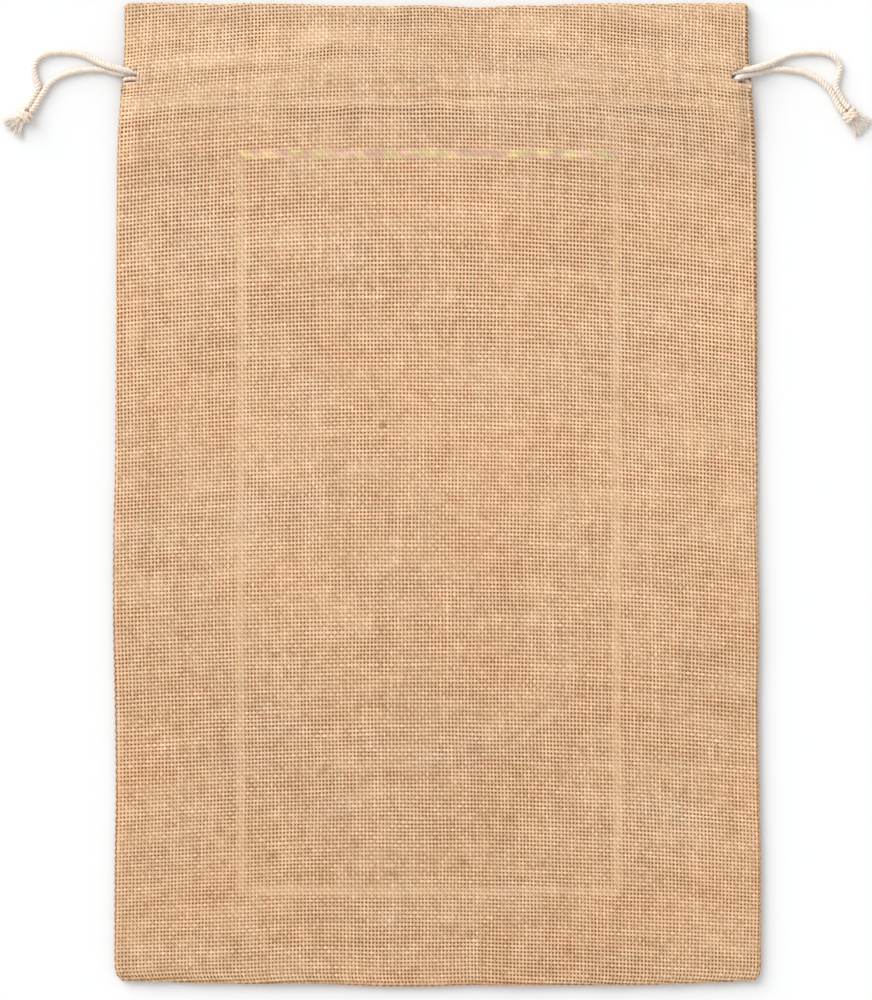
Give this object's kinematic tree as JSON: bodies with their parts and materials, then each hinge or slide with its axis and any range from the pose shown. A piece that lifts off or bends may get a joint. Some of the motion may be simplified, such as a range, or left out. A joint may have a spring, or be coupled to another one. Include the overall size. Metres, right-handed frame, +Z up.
{
  "type": "drawstring sack",
  "caption": "Flat coarse-weave burlap sack with a folded-over mouth, a cord channel open at both sides, and knotted drawcords.",
  "frame": {"origin": "on the surface the sack lies on, under the middle of the two cloth panels, without the loose cord ends", "axes": "+X across the sack to its right side, +Y from the closed bottom to the mouth, +Z up through the flat sack"},
  "size_m": [0.4057, 0.4609, 0.008],
  "materials": {
    "front_panel": "matt open-weave natural jute",
    "back_panel": "matt open-weave natural jute",
    "left_cord_upper_end": "twisted unbleached cotton",
    "left_cord_in_channel": "twisted unbleached cotton",
    "left_cord_lower_end": "twisted unbleached cotton",
    "left_knot": "twisted unbleached cotton",
    "left_frayed_tail": "loose unbleached cotton fibre",
    "right_cord_upper_end": "twisted unbleached cotton",
    "right_cord_in_channel": "twisted unbleached cotton",
    "right_cord_lower_end": "twisted unbleached cotton",
    "right_knot": "twisted unbleached cotton",
    "right_frayed_tail": "loose unbleached cotton fibre"
  },
  "bodies": {
    "root": {"front_panel": "front_panel", "back_panel": "back_panel", "left_cord_upper_end": "left_cord_upper_end", "left_cord_in_channel": "left_cord_in_channel", "left_cord_lower_end": "left_cord_lower_end", "left_knot": "left_knot", "left_frayed_tail": "left_frayed_tail", "right_cord_upper_end": "right_cord_upper_end", "right_cord_in_channel": "right_cord_in_channel", "right_cord_lower_end": "right_cord_lower_end", "right_knot": "right_knot", "right_frayed_tail": "right_frayed_tail"}
  },
  "joints": []
}
